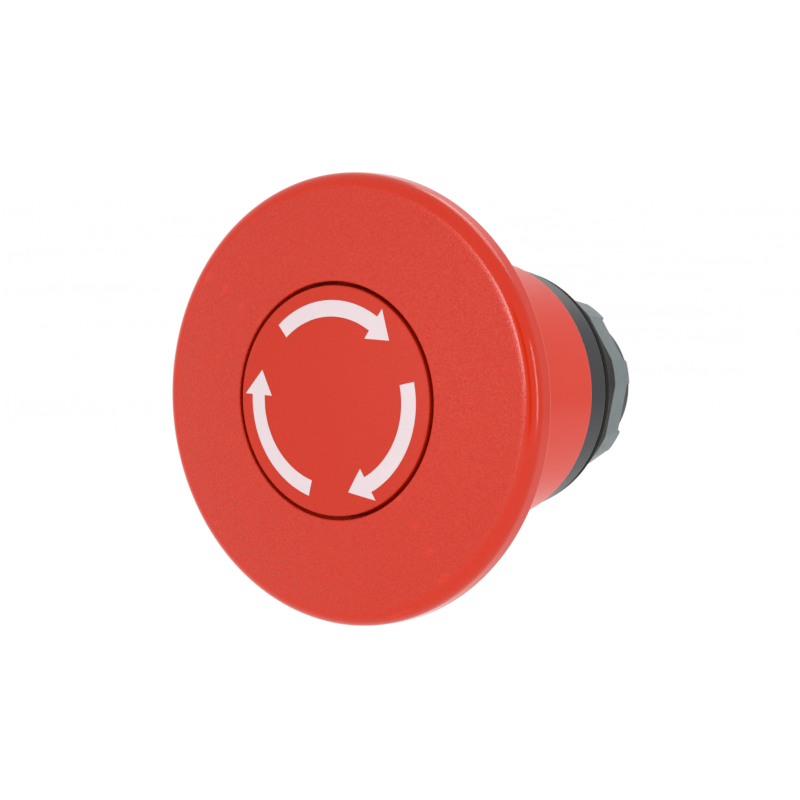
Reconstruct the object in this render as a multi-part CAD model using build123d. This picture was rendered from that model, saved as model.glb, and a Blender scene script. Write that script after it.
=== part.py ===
from build123d import *
import os
from math import cos, radians, sin, sqrt

# Emergency stop operator for a 22 mm panel hole: 60 mm mushroom head, twist release.
# Millimetres. The axis is +Y, into the panel, and +Z is up. The origin is on the axis,
# in the plane where the gasket meets the panel's front face. The head faces -Y.

# ---- driving dimensions ----
STROKE = 4.5            # head travel from released to latched
TWIST = 40.0            # release twist of the head, degrees, clockwise from the front
FIT = 0.05              # radial gap of pressed, snapped and guided fits
RUNNING = 0.08          # radial gap of turning and sliding fits

# mushroom cap
CAP_R = 30.0
APEX_Y = -41.3
DOME_R = 118.0
RIM_ROUND = 2.0
RIM_BACK_Y = -34.0
RIM_BACK_ROUND = 0.3
CAP_WALL = 2.2
POCKET_R = 15.7         # pocket that takes the insert
POCKET_WALL = 1.7
FLOOR_FRONT_Y = -37.1
FLOOR_BACK_Y = -35.1
BOSS_R = 7.8
BOSS_BACK_Y = -29.3
SHOULDER_Y = -35.4      # where the neck's front edge rests inside the rim
SEAT_R = 28.2
SEAT_LEDGE = 1.6
RIB_COUNT = 6
RIB_WIDTH = 1.2
RIB_BACK_Y = -33.8
RIB_END_R = 24.5

# insert and its printed arrows
INSERT_R = 15.2
INSERT_BACK_Y = -39.7
INSERT_SKIRT = 1.0
EDGE_ROUND = 0.25
LEG_R = 10.5
LEG_WIDTH = 3.0
LEG_THICK = 1.0
LEG_ANGLES = (30, 150, 270)
LEG_PLAY = 0.3
HOOK_REACH = 1.4
HOOK_HEIGHT = 1.0
ARROW_COUNT = 3
ARROW_INNER_R = 11.1
ARROW_OUTER_R = 13.25
ARROW_TAIL = 132.4      # degrees from +X towards +Z
ARROW_NECK = 57.6
ARROW_TIP = 41.8
BARB_INNER_R = 9.85
BARB_OUTER_R = 14.5
INK = 0.04

# neck
NECK_R = 18.0
NECK_WALL = 0.9
NECK_BACK_Y = -5.8
NECK_EDGE = 1.0
FLARE_Y = -20.4
FLARE_R = 14.0
FLARE_ANGLE = 72.0

# spindle and its screw
SPINDLE_R = 4.0
SPINDLE_FLAT = 3.3
SPINDLE_BACK_Y = 5.5
KEYED_BACK_Y = -28.6
SCREW_R = 2.0
SCREW_LENGTH = 9.0
SCREW_HEAD_R = 3.6
SCREW_HEAD = 1.7
SCREW_HEAD_ROUND = 0.8
SCREW_HOLE = 10.0
CROSS_REACH = 2.1
CROSS_WIDTH = 0.8
CROSS_DEPTH = 0.9
WASHER_R = 4.4
WASHER = 0.6
SPINDLE_SHOULDER_R = 5.2
SHOULDER_FRONT_Y = -22.2
LUG_R = 7.5
LUG_ANGLE = 24.0
LUG_FRONT_Y = -21.4
CLIP_GROOVE_R = 3.2
CLIP_Y = 3.8
CLIP_THICK = 0.7
CLIP_PLAY = 0.3
CLIP_MOUTH = 4.0

# slide carrier
CARRIER_R = 6.0
CARRIER_FLAT = 5.2
CARRIER_BACK_Y = 3.7
CUP_IN_R = 5.5
CUP_R = 7.8
CUP_FRONT_Y = -22.3
FLANGE_R = 9.4
FLANGE_FRONT_Y = -20.3
FLANGE_BACK_Y = -18.8
STOP_PLAY = 1.5         # degrees left at each end of the twist

# contact pusher and latch pins
PUSHER_R = 6.9
PUSHER_FRONT_Y = 0.4
PUSHER_FLOOR_Y = 5.9
PUSHER_BODY_Y = 11.8
PUSHER_BACK_Y = 14.9
PRONG_IN_R = 4.2
PRONG_ANGLE = 100.0
PIN_R = 1.6
PIN_Y = 8.0
PIN_INNER_X = 3.2
RAMP_R = 8.1            # ramp radius beside a pin at rest
RAMP_SLOPE = 0.2        # how far a pin moves in for each millimetre of stroke
RAMP_LEAD = 2.0

# threaded bushing: M22 thread, drawn plain at its crest
THREAD_R = 11.0
THREAD_BACK_Y = 13.2
SPIGOT_R = 10.1
BUSHING_BACK_Y = 15.9
BUSHING_EDGE = 0.3
BORE_R = 8.7
FRONT_BORE_R = 10.0
FRONT_TUBE_R = 12.5
BUSHING_FRONT_Y = -14.3
SPRING_SEAT_Y = -3.2
BUSHING_FLANGE_R = 14.9
BUSHING_FLANGE_Y = -4.3
PANEL_KEY_R = 12.05
PANEL_KEY_WIDTH = 3.0
PANEL_KEY_LENGTH = 1.5
KEYWAY_WIDTH = 2.4

# bezel collar, gasket and seals
COLLAR_R = 16.75
COLLAR_IN_R = 15.0
COLLAR_FRONT_Y = -13.0
COLLAR_FRONT_ROUND = 0.6
COLLAR_BACK_ROUND = 0.25
WEB_FRONT_Y = -2.3
GASKET_THICK = 0.5
GASKET_R = 16.2
GASKET_IN_R = 12.4
O_RING_MEAN_R = 12.9
O_RING_R = 0.46
BELLOWS_WALL = 0.8
BELLOWS_BEAD = 1.3
BELLOWS_FOLD = 0.4
BELLOWS_SLEEVE = 3.0

# lock nut, its front ring and the thrust washer
PAD_FRONT_R = 16.45
PAD_FRONT_FLAT = 16.83  # beyond the round edge, so the flats fade out forwards
PAD_EDGE_Y = 0.7
PAD_IN_R = 12.4
POCKET_IN_R = 13.7
NUT_FRONT_Y = 6.3       # where the ring ends and the nut's lobes start
NUT_FRONT_R = 13.9
NUT_FRONT_FLAT = 13.43
HUB_FRONT_Y = 1.7       # front of the threaded hub inside the ring
NUT_BACK_Y = 11.5
NUT_BACK_R = 13.03
NUT_BACK_FLAT = 12.6
TOOTH_COUNT = 8
TOOTH_ANGLE = 15.0
FIRST_TOOTH = 9.8       # degrees from +X towards +Z
TOOTH_IN_R = 11.6
GAP_Y = 10.6            # the nut's back between its teeth
THRUST_R = 13.4
THRUST_FRONT_Y = 0.1
THRUST_THICK = 0.6
THRUST_PLAY = 0.1
KEY_PLAY = 0.15

# springs, guide bush, latch ring and its clip
RETURN_SPRING_R = 8.3
RETURN_WIRE_R = 0.55
RETURN_TURNS = 5
TWIST_SPRING_R = 6.6
TWIST_WIRE_R = 0.4
TWIST_TURNS = 6
GROOVE_DEPTH = 0.8
GROOVE_PLAY = 0.1
GROOVE_STOP = 1.0        # width of the wall that each end of the twist spring pushes on
LATCH_SPRING_R = 1.1
LATCH_WIRE_R = 0.18
LATCH_TURNS = 6
BUSH_FLANGE_Y = -4.8
BUSH_BACK_Y = 0.2
LATCH_FRONT_Y = 2.0
LATCH_BACK_Y = 14.0
CREST_Y = PIN_Y + STROKE + 0.5
RING_CLIP_Y = 14.1
RING_CLIP_THICK = 0.8
RING_CLIP_R = 9.2
RING_CLIP_IN_R = 7.8
RING_CLIP_MOUTH = 5.0
EAR_X = 3.4
EAR_Z = -7.3
EAR_R = 1.0
EYE_R = 0.45


# ---- helpers ----
def turned(*points, rounds=()):
    """A ring or disc turned about the axis. Points are (radius, y); rounds are (corner, radius)."""
    profile = make_face(Polyline(*points, close=True))
    for corner, radius in rounds:
        profile = fillet(profile.vertices().sort_by_distance(corner)[0], radius)
    return revolve(profile, Axis.Y)


def ring(inner, outer, front, back, rounds=()):
    """A plain tube between two radii and two stations on the axis."""
    return turned((inner, front), (outer, front), (outer, back), (inner, back), rounds=rounds)


def disc(radius, front, back):
    return turned((0, front), (radius, front), (radius, back), (0, back))


def dome(drop=0.0):
    """The ball whose front is the cap's face, or that face moved inwards by drop."""
    return Location((0, APEX_Y + DOME_R, 0)) * Sphere(DOME_R - drop)


def dome_y(radius, drop=0.0):
    """Where the dome's face lies at a radius from the axis."""
    return APEX_Y + DOME_R - sqrt((DOME_R - drop) ** 2 - radius**2)


def block(x, y, z):
    """A box between pairs of limits along each direction."""
    size = [high - low for low, high in (x, y, z)]
    middle = [(high + low) / 2 for low, high in (x, y, z)]
    return Location(middle) * Box(*size)


def about_axis(shape, angle):
    """Turn a shape about the axis, from +X towards +Z."""
    return shape.rotate(Axis.Y, -angle)


def around(shape, count, first=0.0):
    """Copies of a shape spaced evenly about the axis."""
    return [about_axis(shape, first + 360 / count * step) for step in range(count)]


def polar(radius, angle):
    return radius * cos(radians(angle)), radius * sin(radians(angle))


def sector(inner, outer, angle, front, back):
    """A ring's sector, centred on +X."""
    half = angle / 2
    low, high = polar(outer, -half), polar(outer, half)
    edges = [
        RadiusArc(low, high, -outer),
        Line(high, polar(inner, half)),
        RadiusArc(polar(inner, half), polar(inner, -half), inner),
        Line(polar(inner, -half), low),
    ]
    return across_axis(make_face(edges), front, back)


def across_axis(face, front, back):
    """Extrude a face drawn in (x, z) from one station on the axis to another."""
    lying = Plane(origin=(0, front, 0), x_dir=(1, 0, 0), z_dir=(0, -1, 0)) * face
    return extrude(lying, front - back)


def coil(radius, wire_r, pitch, front, back):
    """A coil spring's wire about the axis."""
    path = Helix(pitch, back - front, radius, center=(0, front, 0), direction=(0, 1, 0))
    start = Plane(origin=path @ 0, z_dir=path % 0)
    return sweep(start * Circle(wire_r), path=path, is_frenet=True)


# ---- head: the pieces that push and twist ----
def rim_centre_y():
    """Where the rim's rounding is centred, so that it runs smoothly into the dome."""
    reach = DOME_R - RIM_ROUND
    return APEX_Y + DOME_R - sqrt(reach**2 - (CAP_R - RIM_ROUND) ** 2)


def cap_shell():
    """The cap without its ribs and windows: dome, rim, pocket floor and boss."""
    lean = (CAP_R - RIM_ROUND) / (DOME_R - RIM_ROUND)
    on_dome = (CAP_R - RIM_ROUND + RIM_ROUND * lean, rim_centre_y() - RIM_ROUND * sqrt(1 - lean**2))
    under_r = SEAT_R - SEAT_LEDGE
    under = (under_r, dome_y(under_r, CAP_WALL))
    well_r = POCKET_R + POCKET_WALL
    well = (well_r, dome_y(well_r, CAP_WALL))
    lip = (POCKET_R, dome_y(POCKET_R))
    outside = Polyline(
        (CAP_R, rim_centre_y()),
        (CAP_R, RIM_BACK_Y),
        (SEAT_R, RIM_BACK_Y),
        (SEAT_R, SHOULDER_Y),
        (under_r, SHOULDER_Y),
        under,
    )
    inside = Polyline(
        well,
        (well_r, FLOOR_BACK_Y),
        (BOSS_R, FLOOR_BACK_Y),
        (BOSS_R, BOSS_BACK_Y),
        (SCREW_R + FIT, BOSS_BACK_Y),
        (SCREW_R + FIT, FLOOR_FRONT_Y),
        (POCKET_R, FLOOR_FRONT_Y),
        lip,
    )
    edges = [
        RadiusArc(lip, on_dome, -DOME_R),
        RadiusArc(on_dome, (CAP_R, rim_centre_y()), -RIM_ROUND),
        outside,
        RadiusArc(under, well, DOME_R - CAP_WALL),
        inside,
    ]
    profile = make_face(edges)
    for corner, radius in (((CAP_R, RIM_BACK_Y), RIM_BACK_ROUND), (lip, EDGE_ROUND)):
        profile = fillet(profile.vertices().sort_by_distance(corner)[0], radius)
    return revolve(profile, Axis.Y)


def cap_rib():
    half = RIB_WIDTH / 2
    rib = block((BOSS_R - half, RIB_END_R), (APEX_Y, RIB_BACK_Y), (-half, half))
    return rib & dome(CAP_WALL / 2) - disc(POCKET_R + POCKET_WALL / 2, APEX_Y, FLOOR_BACK_Y)


def mushroom_cap():
    cap = cap_shell() + around(cap_rib(), RIB_COUNT)
    cap -= double_d(SPINDLE_R + FIT, SPINDLE_FLAT + FIT, FLOOR_BACK_Y, BOSS_BACK_Y)
    half = LEG_WIDTH / 2 + LEG_PLAY
    reach = (LEG_R - LEG_THICK - LEG_PLAY, LEG_R + HOOK_REACH + LEG_PLAY)
    window = block(reach, (FLOOR_FRONT_Y, FLOOR_BACK_Y), (-half, half))
    for angle in LEG_ANGLES:
        cap -= about_axis(window, angle)
    return cap - spring_groove(BOSS_BACK_Y - GROOVE_DEPTH, BOSS_BACK_Y, -1)


def spring_groove(front, back, side):
    """A groove for the twist spring's end turn. The wire's end, at +Z, pushes on its stop wall."""
    width = TWIST_WIRE_R + GROOVE_PLAY
    groove = ring(TWIST_SPRING_R - width, TWIST_SPRING_R + width, front, back)
    edges = sorted((side * GROOVE_PLAY, side * (GROOVE_PLAY + GROOVE_STOP)))
    return groove - block(edges, (front, back), (0, CAP_R))


def double_d(radius, flat, front, back):
    """A round shaft with two flats, across Z."""
    return disc(radius, front, back) & block((-radius, radius), (front, back), (-flat, flat))


def cap_insert():
    mouth = (INSERT_R, dome_y(INSERT_R))
    sides = Polyline(
        mouth,
        (INSERT_R, FLOOR_FRONT_Y),
        (INSERT_R - INSERT_SKIRT, FLOOR_FRONT_Y),
        (INSERT_R - INSERT_SKIRT, INSERT_BACK_Y),
        (0, INSERT_BACK_Y),
        (0, APEX_Y),
    )
    profile = make_face([RadiusArc((0, APEX_Y), mouth, -DOME_R), sides])
    profile = fillet(profile.vertices().sort_by_distance(mouth)[0], EDGE_ROUND)
    insert = revolve(profile, Axis.Y)
    for angle in LEG_ANGLES:
        insert += about_axis(snap_leg(), angle)
    return insert


def snap_leg():
    """A leg that passes through the cap's floor and hooks behind it."""
    half = LEG_WIDTH / 2
    inner_r = LEG_R - LEG_THICK
    catch_y = FLOOR_BACK_Y + FIT
    end_y = catch_y + HOOK_HEIGHT
    leg = block((inner_r, LEG_R), (INSERT_BACK_Y - LEG_PLAY, end_y), (-half, half))
    hook = [(LEG_R, catch_y), (LEG_R + HOOK_REACH, catch_y), (LEG_R, end_y)]
    return leg + extrude(make_face(Polyline(*hook, close=True)), half, both=True)


def arrow_outline():
    """One curved arrow with a pointed head, seen from the front."""
    middle_r = (BARB_INNER_R + BARB_OUTER_R) / 2
    tip = polar(middle_r, ARROW_TIP)
    edges = [
        RadiusArc(polar(ARROW_OUTER_R, ARROW_TAIL), polar(ARROW_OUTER_R, ARROW_NECK), ARROW_OUTER_R),
        Line(polar(ARROW_OUTER_R, ARROW_NECK), polar(BARB_OUTER_R, ARROW_NECK)),
        Line(polar(BARB_OUTER_R, ARROW_NECK), tip),
        Line(tip, polar(BARB_INNER_R, ARROW_NECK)),
        Line(polar(BARB_INNER_R, ARROW_NECK), polar(ARROW_INNER_R, ARROW_NECK)),
        RadiusArc(polar(ARROW_INNER_R, ARROW_NECK), polar(ARROW_INNER_R, ARROW_TAIL), -ARROW_INNER_R),
        Line(polar(ARROW_INNER_R, ARROW_TAIL), polar(ARROW_OUTER_R, ARROW_TAIL)),
    ]
    return make_face(edges)


def arrow_marks():
    film = dome(-INK) - dome()
    arrow = across_axis(arrow_outline(), APEX_Y, FLOOR_FRONT_Y) & film
    return around(arrow, ARROW_COUNT)


def neck_skirt():
    centre_r = NECK_R + FLARE_R
    angle = radians(FLARE_ANGLE)
    outer_end = (centre_r - FLARE_R * cos(angle), FLARE_Y - FLARE_R * sin(angle))
    inner_r = FLARE_R + NECK_WALL
    inner_end = (centre_r - inner_r * cos(angle), FLARE_Y - inner_r * sin(angle))
    edge_r = SEAT_R - FIT
    edges = [
        Line((NECK_R, NECK_BACK_Y), (NECK_R, FLARE_Y)),
        RadiusArc((NECK_R, FLARE_Y), outer_end, -FLARE_R),
        Line(outer_end, (edge_r, RIM_BACK_Y)),
        Line((edge_r, RIM_BACK_Y), (edge_r, SHOULDER_Y)),
        Line((edge_r, SHOULDER_Y), (edge_r - NECK_EDGE, SHOULDER_Y)),
        Line((edge_r - NECK_EDGE, SHOULDER_Y), inner_end),
        RadiusArc(inner_end, (NECK_R - NECK_WALL, FLARE_Y), inner_r),
        Line((NECK_R - NECK_WALL, FLARE_Y), (NECK_R - NECK_WALL, NECK_BACK_Y)),
        Line((NECK_R - NECK_WALL, NECK_BACK_Y), (NECK_R, NECK_BACK_Y)),
    ]
    profile = make_face(edges)
    profile = fillet(profile.vertices().sort_by_distance((NECK_R, NECK_BACK_Y))[0], RIM_BACK_ROUND)
    return revolve(profile, Axis.Y)


def head_screw():
    head_back = FLOOR_FRONT_Y - WASHER
    head_front = head_back - SCREW_HEAD
    edge = ((SCREW_HEAD_R, head_front), SCREW_HEAD_ROUND)
    screw = ring(0, SCREW_HEAD_R, head_front, head_back, rounds=[edge])
    screw += disc(SCREW_R, head_back, FLOOR_FRONT_Y + SCREW_LENGTH)
    half = CROSS_WIDTH / 2
    slot = block((-CROSS_REACH, CROSS_REACH), (head_front, head_front + CROSS_DEPTH), (-half, half))
    for angle in (0, 90):
        screw -= about_axis(slot, angle)
    return screw


def screw_washer():
    return ring(SCREW_R + FIT, WASHER_R, FLOOR_FRONT_Y - WASHER, FLOOR_FRONT_Y)


def spindle():
    shoulder_back = FLANGE_FRONT_Y - RUNNING
    shaft = double_d(SPINDLE_R, SPINDLE_FLAT, FLOOR_BACK_Y, KEYED_BACK_Y)
    shaft += disc(SPINDLE_R, KEYED_BACK_Y, SPINDLE_BACK_Y)
    shaft += disc(SPINDLE_SHOULDER_R, SHOULDER_FRONT_Y, shoulder_back)
    lug = sector(SPINDLE_R, LUG_R, LUG_ANGLE, LUG_FRONT_Y, shoulder_back)
    shaft += around(lug, 2, LUG_ANGLE / 2)
    shaft -= disc(SCREW_R + FIT, FLOOR_BACK_Y, FLOOR_FRONT_Y + SCREW_HOLE)
    return shaft - ring(CLIP_GROOVE_R, SPINDLE_SHOULDER_R, CLIP_Y - FIT, CLIP_Y + CLIP_THICK + FIT)


def twist_spring():
    """Torsion spring about the spindle. Each end turn lies in a groove and pushes on its stop."""
    front = BOSS_BACK_Y - GROOVE_DEPTH / 2
    back = CUP_FRONT_Y + GROOVE_DEPTH / 2
    return coil(TWIST_SPRING_R, TWIST_WIRE_R, (back - front) / TWIST_TURNS, front, back)


def spindle_clip():
    clip = ring(CLIP_GROOVE_R + FIT, CUP_IN_R - CLIP_PLAY, CLIP_Y, CLIP_Y + CLIP_THICK)
    half = CLIP_MOUTH / 2
    return clip - block((-half, half), (CLIP_Y, CLIP_Y + CLIP_THICK), (0, CUP_IN_R))


# ---- carrier: the pieces that slide without turning ----
def slide_carrier():
    carrier = double_d(CARRIER_R, CARRIER_FLAT, FLANGE_BACK_Y, CARRIER_BACK_Y)
    carrier += disc(FLANGE_R, FLANGE_FRONT_Y, FLANGE_BACK_Y)
    carrier += ring(CUP_IN_R, CUP_R, CUP_FRONT_Y, FLANGE_FRONT_Y)
    carrier -= disc(SPINDLE_R + RUNNING, CUP_FRONT_Y, CARRIER_BACK_Y)
    window_angle = LUG_ANGLE + TWIST + 2 * STOP_PLAY
    window = sector(SPINDLE_R, FLANGE_R, window_angle, CUP_FRONT_Y, FLANGE_FRONT_Y)
    for shape in around(window, 2, window_angle / 2 - TWIST - STOP_PLAY):
        carrier -= shape
    return carrier - spring_groove(CUP_FRONT_Y, CUP_FRONT_Y + GROOVE_DEPTH, 1)


def contact_pusher():
    pusher = disc(PUSHER_R, PUSHER_FRONT_Y, PUSHER_BODY_Y)
    pusher -= double_d(CARRIER_R + FIT, CARRIER_FLAT + FIT, PUSHER_FRONT_Y, CARRIER_BACK_Y)
    pusher -= disc(CUP_IN_R, CARRIER_BACK_Y, PUSHER_FLOOR_Y)
    prong = sector(PRONG_IN_R, PUSHER_R, PRONG_ANGLE, PUSHER_BODY_Y, PUSHER_BACK_Y)
    pusher += around(prong, 2)
    return pusher - Location((0, PIN_Y, 0), (0, 90, 0)) * Cylinder(PIN_R + FIT, 3 * PUSHER_R)


def pin_tip_x():
    """Centre of a pin's ball end, a running gap clear of the ramp."""
    return RAMP_R - (PIN_R + RUNNING) * sqrt(1 + RAMP_SLOPE**2)


def latch_pin():
    length = pin_tip_x() - PIN_INNER_X
    shank = Location((PIN_INNER_X + length / 2, PIN_Y, 0), (0, 90, 0)) * Cylinder(PIN_R, length)
    return shank + Location((pin_tip_x(), PIN_Y, 0)) * Sphere(PIN_R)


def latch_spring():
    reach = PIN_INNER_X - LATCH_WIRE_R - FIT
    pitch = 2 * reach / LATCH_TURNS
    path = Helix(pitch, 2 * reach, LATCH_SPRING_R, center=(-reach, PIN_Y, 0), direction=(1, 0, 0))
    start = Plane(origin=path @ 0, z_dir=path % 0)
    return sweep(start * Circle(LATCH_WIRE_R), path=path, is_frenet=True)


# ---- housing: the pieces fixed in the panel ----
def return_spring():
    front = FLANGE_BACK_Y + RETURN_WIRE_R + FIT
    back = BUSH_FLANGE_Y - RETURN_WIRE_R - FIT
    return coil(RETURN_SPRING_R, RETURN_WIRE_R, (back - front) / RETURN_TURNS, front, back)


def guide_bush():
    bush = turned(
        (0, BUSH_FLANGE_Y),
        (FRONT_BORE_R - FIT, BUSH_FLANGE_Y),
        (FRONT_BORE_R - FIT, SPRING_SEAT_Y),
        (BORE_R - FIT, SPRING_SEAT_Y),
        (BORE_R - FIT, BUSH_BACK_Y),
        (0, BUSH_BACK_Y),
    )
    return bush - double_d(CARRIER_R + RUNNING, CARRIER_FLAT + RUNNING, BUSH_FLANGE_Y, BUSH_BACK_Y)


def latch_ring():
    ramp_front = PIN_Y - RAMP_LEAD
    return turned(
        (BORE_R - FIT, LATCH_FRONT_Y),
        (BORE_R - FIT, LATCH_BACK_Y),
        (RAMP_R, LATCH_BACK_Y),
        (RAMP_R - RAMP_SLOPE * (CREST_Y - PIN_Y), CREST_Y),
        (RAMP_R - RAMP_SLOPE * (ramp_front - PIN_Y), ramp_front),
        (RAMP_R - RAMP_SLOPE * (ramp_front - PIN_Y), LATCH_FRONT_Y),
    )


def ring_clip():
    clip = ring(RING_CLIP_IN_R, RING_CLIP_R, RING_CLIP_Y, RING_CLIP_Y + RING_CLIP_THICK)
    half = RING_CLIP_MOUTH / 2
    clip -= block((-half, half), (RING_CLIP_Y, RING_CLIP_Y + RING_CLIP_THICK), (-RING_CLIP_R, 0))
    for side in (-1, 1):
        ear = Location((side * EAR_X, RING_CLIP_Y + RING_CLIP_THICK / 2, EAR_Z), (90, 0, 0))
        clip += ear * Cylinder(EAR_R, RING_CLIP_THICK)
        clip -= ear * Cylinder(EYE_R, RING_CLIP_THICK)
    return clip


def threaded_bushing():
    chamfer_size = THREAD_R - SPIGOT_R
    groove = (O_RING_MEAN_R - O_RING_R - FIT, O_RING_MEAN_R + O_RING_R + FIT)
    groove_y = WEB_FRONT_Y - 2 * O_RING_R - 2 * FIT
    bushing = turned(
        (BORE_R, SPRING_SEAT_Y),
        (FRONT_BORE_R, SPRING_SEAT_Y),
        (FRONT_BORE_R, BUSHING_FRONT_Y),
        (FRONT_TUBE_R, BUSHING_FRONT_Y),
        (FRONT_TUBE_R, BUSHING_FLANGE_Y),
        (BUSHING_FLANGE_R, BUSHING_FLANGE_Y),
        (BUSHING_FLANGE_R, WEB_FRONT_Y),
        (groove[1], WEB_FRONT_Y),
        (groove[1], groove_y),
        (groove[0], groove_y),
        (groove[0], WEB_FRONT_Y),
        (THREAD_R, WEB_FRONT_Y),
        (THREAD_R, THREAD_BACK_Y - chamfer_size),
        (SPIGOT_R, THREAD_BACK_Y),
        (SPIGOT_R, BUSHING_BACK_Y - BUSHING_EDGE),
        (SPIGOT_R - BUSHING_EDGE, BUSHING_BACK_Y),
        (BORE_R, BUSHING_BACK_Y),
    )
    half = PANEL_KEY_WIDTH / 2
    key = block((-half, half), (0, PANEL_KEY_LENGTH), (FRONT_BORE_R, PANEL_KEY_R))
    bushing += disc(PANEL_KEY_R, 0, PANEL_KEY_LENGTH) & key
    half = KEYWAY_WIDTH / 2
    bushing -= block((-half, half), (0, THREAD_BACK_Y), (-PANEL_KEY_R, -SPIGOT_R))
    groove_back = RING_CLIP_Y + RING_CLIP_THICK + FIT
    return bushing - ring(RING_CLIP_IN_R, RING_CLIP_R + FIT, RING_CLIP_Y - FIT, groove_back)


def bezel_collar():
    back = -GASKET_THICK
    return turned(
        (THREAD_R + FIT, WEB_FRONT_Y),
        (COLLAR_IN_R, WEB_FRONT_Y),
        (COLLAR_IN_R, COLLAR_FRONT_Y),
        (COLLAR_R, COLLAR_FRONT_Y),
        (COLLAR_R, back),
        (THREAD_R + FIT, back),
        rounds=[
            ((COLLAR_R, COLLAR_FRONT_Y), COLLAR_FRONT_ROUND),
            ((COLLAR_R, back), COLLAR_BACK_ROUND),
        ],
    )


def panel_gasket():
    return ring(GASKET_IN_R, GASKET_R, -GASKET_THICK, 0)


def flange_o_ring():
    centre = (O_RING_MEAN_R, WEB_FRONT_Y - O_RING_R - FIT)
    return revolve(Plane.XY * Location(centre) * Circle(O_RING_R), Axis.Y)


def sealing_bellows():
    """Rubber diaphragm from the carrier's flange to the bushing's front tube."""
    bead_r = FLANGE_R + FIT
    sleeve_r = FRONT_TUBE_R + FIT
    fold_y = FLANGE_BACK_Y + BELLOWS_FOLD
    bead_y = FLANGE_FRONT_Y + BELLOWS_BEAD
    sleeve_y = BUSHING_FRONT_Y + BELLOWS_SLEEVE
    return turned(
        (bead_r, FLANGE_FRONT_Y),
        (bead_r + BELLOWS_WALL, FLANGE_FRONT_Y),
        (sleeve_r + BELLOWS_WALL, fold_y),
        (sleeve_r + BELLOWS_WALL, sleeve_y),
        (sleeve_r, sleeve_y),
        (sleeve_r, fold_y + BELLOWS_WALL / 2),
        (bead_r + BELLOWS_WALL / 2, bead_y),
        (bead_r, bead_y),
    )


# ---- lock nut ----
def eight_flats(front, back, front_flat, back_flat):
    """A tapering octagonal bar, its corners in line with the nut's teeth."""
    sections = []
    for y, flat in ((front, front_flat), (back, back_flat)):
        plane = Plane(origin=(0, y, 0), x_dir=(1, 0, 0), z_dir=(0, -1, 0))
        octagon = RegularPolygon(flat, TOOTH_COUNT, major_radius=False, rotation=FIRST_TOOTH)
        sections.append(plane * octagon)
    return loft(sections, ruled=True)


def nut_pad():
    """The nut's black front ring, recessed in front for the thrust washer."""
    pad = turned(
        (PAD_IN_R, 0),
        (PAD_FRONT_R, 0),
        (PAD_FRONT_R, PAD_EDGE_Y),
        (NUT_FRONT_R, NUT_FRONT_Y),
        (PAD_IN_R, NUT_FRONT_Y),
    )
    pad &= eight_flats(0, NUT_FRONT_Y, PAD_FRONT_FLAT, NUT_FRONT_FLAT)
    return pad - disc(POCKET_IN_R, 0, THRUST_FRONT_Y + THRUST_THICK + THRUST_PLAY)


def lock_nut():
    """Tapering nut with eight flats and eight teeth behind, its hub inside the front ring."""
    nut = turned(
        (0, NUT_FRONT_Y),
        (NUT_FRONT_R, NUT_FRONT_Y),
        (NUT_BACK_R, NUT_BACK_Y),
        (0, NUT_BACK_Y),
    )
    nut &= eight_flats(NUT_FRONT_Y, NUT_BACK_Y, NUT_FRONT_FLAT, NUT_BACK_FLAT)
    nut += disc(PAD_IN_R - FIT, HUB_FRONT_Y, NUT_FRONT_Y)
    nut -= disc(TOOTH_IN_R, GAP_Y, NUT_BACK_Y)
    gap_angle = 360 / TOOTH_COUNT - TOOTH_ANGLE
    gap = sector(THREAD_R, NUT_FRONT_R, gap_angle, GAP_Y, NUT_BACK_Y)
    for shape in around(gap, TOOTH_COUNT, FIRST_TOOTH + 180 / TOOTH_COUNT):
        nut -= shape
    return nut - disc(THREAD_R + RUNNING, HUB_FRONT_Y, GAP_Y)


def thrust_washer():
    back = THRUST_FRONT_Y + THRUST_THICK
    washer = ring(THREAD_R + KEY_PLAY, THRUST_R, THRUST_FRONT_Y, back)
    half = KEYWAY_WIDTH / 2 - KEY_PLAY
    tab = (-THREAD_R - THRUST_THICK, -SPIGOT_R - KEY_PLAY)
    washer += block((-half, half), (THRUST_FRONT_Y, back), tab)
    half = PANEL_KEY_WIDTH / 2 + KEY_PLAY
    return washer - block((-half, half), (THRUST_FRONT_Y, back), (0, PANEL_KEY_R + KEY_PLAY))


PIECES = {
    "mushroom_cap": mushroom_cap,
    "cap_insert": cap_insert,
    "arrow_marks": arrow_marks,
    "neck_skirt": neck_skirt,
    "head_screw": head_screw,
    "screw_washer": screw_washer,
    "spindle": spindle,
    "twist_spring": twist_spring,
    "spindle_clip": spindle_clip,
    "slide_carrier": slide_carrier,
    "contact_pusher": contact_pusher,
    "latch_pin_right": latch_pin,
    "latch_spring": latch_spring,
    "return_spring": return_spring,
    "guide_bush": guide_bush,
    "latch_ring": latch_ring,
    "ring_clip": ring_clip,
    "threaded_bushing": threaded_bushing,
    "bezel_collar": bezel_collar,
    "panel_gasket": panel_gasket,
    "flange_o_ring": flange_o_ring,
    "sealing_bellows": sealing_bellows,
    "nut_pad": nut_pad,
    "lock_nut": lock_nut,
    "thrust_washer": thrust_washer,
}


def main():
    os.makedirs("parts", exist_ok=True)
    shapes = {name: make() for name, make in PIECES.items()}
    shapes["latch_pin_left"] = about_axis(shapes["latch_pin_right"], 180)
    for name, shape in shapes.items():
        pieces = shape if isinstance(shape, list) else [shape]
        solids = [solid for piece in pieces for solid in piece.solids()]
        export_step(Compound(children=solids), f"parts/{name}.step")


main()
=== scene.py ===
from math import asin, cos, degrees, radians, sin, sqrt, tan

import bmesh
import bpy
from mathutils import Matrix, Vector


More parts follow.
